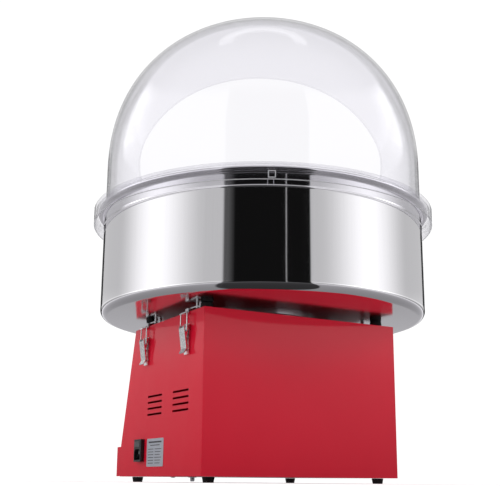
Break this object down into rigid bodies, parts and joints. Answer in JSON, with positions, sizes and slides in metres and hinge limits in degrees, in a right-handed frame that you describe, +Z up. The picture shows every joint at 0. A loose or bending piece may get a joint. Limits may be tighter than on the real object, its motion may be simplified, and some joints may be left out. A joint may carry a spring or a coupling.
{
  "type": "cotton candy machine",
  "caption": "Table-top cotton candy machine: red steel cabinet with sugar drawer and controls, spinner head, latched steel bowl and a clear dome with an arched opening.",
  "frame": {"origin": "on the floor under the spindle's axis, which is also the centre of the bowl and the dome", "axes": "+Z up along the spindle, -Y towards the operator, who faces the drawer and the control panel, +X towards the side with the mains inlet"},
  "size_m": [0.532, 0.532, 0.7244],
  "materials": {
    "red_paint": "semi-gloss red powder coat",
    "bowl_steel": "polished stainless steel with a fine vertical brushing",
    "plated_steel": "zinc-plated steel",
    "latch_plating": "bright nickel plating",
    "clear_dome": "clear vacuum-formed plastic",
    "clear_window": "clear plastic window",
    "black_rubber": "matt black rubber",
    "black_plastic": "satin black plastic",
    "grey_plastic": "satin grey plastic",
    "red_plastic": "glossy red plastic",
    "needle_paint": "matt black paint",
    "motor_paint": "satin grey enamel",
    "cast_aluminium": "fine-turned cast aluminium",
    "copper": "satin copper alloy"
  },
  "bodies": {
    "cabinet": {"right_side_panel": "red_paint", "left_side_panel": "red_paint", "rear_panel": "red_paint", "top_deck": "red_paint", "base_pan": "red_paint", "front_panel": "red_paint", "drawer_bay": "plated_steel", "foot_front_left": "black_rubber", "foot_front_right": "black_rubber", "foot_rear_left": "black_rubber", "foot_rear_right": "black_rubber", "bowl_pad_front_left": "black_rubber", "bowl_pad_front_right": "black_rubber", "bowl_pad_rear_left": "black_rubber", "bowl_pad_rear_right": "black_rubber", "voltmeter_case": "black_plastic", "voltmeter_window": "clear_window", "power_switch_case": "black_plastic", "heat_switch_case": "black_plastic", "heat_control": "plated_steel", "inlet_housing": "black_plastic", "spindle_housing": "cast_aluminium", "upper_bearing": "plated_steel", "lower_bearing": "plated_steel", "brush_holder": "black_plastic", "motor_body": "motor_paint", "drive_belt": "black_rubber", "bowl_pan": "bowl_steel", "bowl_hub_ring": "bowl_steel", "latch_base_front_right": "latch_plating", "latch_base_rear_right": "latch_plating", "latch_base_front_left": "latch_plating", "latch_base_rear_left": "latch_plating", "latch_catch_front_right": "latch_plating", "latch_catch_rear_right": "latch_plating", "latch_catch_front_left": "latch_plating", "latch_catch_rear_left": "latch_plating"},
    "spinner": {"spindle_shaft": "plated_steel", "spindle_pulley": "cast_aluminium", "slip_rings": "copper", "head_base": "cast_aluminium", "heater_ring": "copper", "head_cap": "cast_aluminium"},
    "rotor": {"motor_rotor": "cast_aluminium"},
    "drawer": {"drawer_box": "red_paint", "drawer_handle": "plated_steel"},
    "fuse": {"fuse_drawer": "grey_plastic"},
    "power_switch": {"power_rocker": "red_plastic"},
    "heat_switch": {"heat_rocker": "red_plastic"},
    "knob": {"heat_knob": "black_plastic"},
    "needle": {"voltmeter_needle": "needle_paint"},
    "dome_shell": {"dome": "clear_dome"},
    "lever_front_right": {"latch_lever_front_right": "latch_plating"},
    "lever_rear_right": {"latch_lever_rear_right": "latch_plating"},
    "lever_front_left": {"latch_lever_front_left": "latch_plating"},
    "lever_rear_left": {"latch_lever_rear_left": "latch_plating"},
    "bail_front_right": {"latch_bail_front_right": "latch_plating"},
    "bail_rear_right": {"latch_bail_rear_right": "latch_plating"},
    "bail_front_left": {"latch_bail_front_left": "latch_plating"},
    "bail_rear_left": {"latch_bail_rear_left": "latch_plating"}
  },
  "joints": [
    {"name": "spindle_spin", "type": "hinge", "parent": "cabinet", "child": "spinner", "pos_m": [0, 0, 0.2], "axis": [0, 0, 1], "continuous": true},
    {"name": "motor_spin", "type": "hinge", "parent": "cabinet", "child": "rotor", "pos_m": [0.095, 0.01, 0.1], "axis": [0, 0, 1], "continuous": true},
    {"name": "drawer_slide", "type": "slide", "parent": "cabinet", "child": "drawer", "axis": [0, -1, 0], "range_m": [0, 0.19]},
    {"name": "fuse_drawer_slide", "type": "slide", "parent": "cabinet", "child": "fuse", "axis": [1, 0, 0], "range_m": [0, 0.014]},
    {"name": "power_rocker_tip", "type": "hinge", "parent": "cabinet", "child": "power_switch", "pos_m": [-0.082, -0.13648, 0.16925], "axis": [1, 0, 0], "range_deg": [-20, 0]},
    {"name": "heat_rocker_tip", "type": "hinge", "parent": "cabinet", "child": "heat_switch", "pos_m": [0.082, -0.13648, 0.16925], "axis": [1, 0, 0], "range_deg": [-20, 0]},
    {"name": "heat_knob_turn", "type": "hinge", "parent": "cabinet", "child": "knob", "pos_m": [0, -0.15299, 0.10535], "axis": [0, -0.9682, 0.2502], "range_deg": [-270, 0]},
    {"name": "needle_swing", "type": "hinge", "parent": "cabinet", "child": "needle", "pos_m": [0, -0.14048, 0.15376], "axis": [0, -0.9682, 0.2502], "range_deg": [-90, 0]},
    {"name": "dome_lift", "type": "slide", "parent": "cabinet", "child": "dome_shell", "axis": [0, 0, 1], "range_m": [0, 0.35]},
    {"name": "lever_front_right_swing", "type": "hinge", "parent": "cabinet", "child": "lever_front_right", "pos_m": [0.1672, -0.0725, 0.211], "axis": [0, -1, 0], "range_deg": [0, 115]},
    {"name": "lever_rear_right_swing", "type": "hinge", "parent": "cabinet", "child": "lever_rear_right", "pos_m": [0.1672, 0.0705, 0.211], "axis": [0, -1, 0], "range_deg": [0, 115]},
    {"name": "lever_front_left_swing", "type": "hinge", "parent": "cabinet", "child": "lever_front_left", "pos_m": [-0.1672, -0.0725, 0.211], "axis": [0, 1, 0], "range_deg": [0, 115]},
    {"name": "lever_rear_left_swing", "type": "hinge", "parent": "cabinet", "child": "lever_rear_left", "pos_m": [-0.1672, 0.0705, 0.211], "axis": [0, 1, 0], "range_deg": [0, 115]},
    {"name": "bail_front_right_swing", "type": "hinge", "parent": "lever_front_right", "child": "bail_front_right", "pos_m": [0.1672, -0.0725, 0.2045], "axis": [0, -1, 0], "range_deg": [-144, 0]},
    {"name": "bail_rear_right_swing", "type": "hinge", "parent": "lever_rear_right", "child": "bail_rear_right", "pos_m": [0.1672, 0.0705, 0.2045], "axis": [0, -1, 0], "range_deg": [-144, 0]},
    {"name": "bail_front_left_swing", "type": "hinge", "parent": "lever_front_left", "child": "bail_front_left", "pos_m": [-0.1672, -0.0725, 0.2045], "axis": [0, 1, 0], "range_deg": [-144, 0]},
    {"name": "bail_rear_left_swing", "type": "hinge", "parent": "lever_rear_left", "child": "bail_rear_left", "pos_m": [-0.1672, 0.0705, 0.2045], "axis": [0, 1, 0], "range_deg": [-144, 0]}
  ],
  "couplings": [
    {"joint": "motor_spin", "follows": "spindle_spin", "ratio": 1.25},
    {"joint": "bail_front_right_swing", "follows": "lever_front_right_swing", "ratio": -1.25},
    {"joint": "bail_rear_right_swing", "follows": "lever_rear_right_swing", "ratio": -1.25},
    {"joint": "bail_front_left_swing", "follows": "lever_front_left_swing", "ratio": -1.25},
    {"joint": "bail_rear_left_swing", "follows": "lever_rear_left_swing", "ratio": -1.25}
  ]
}
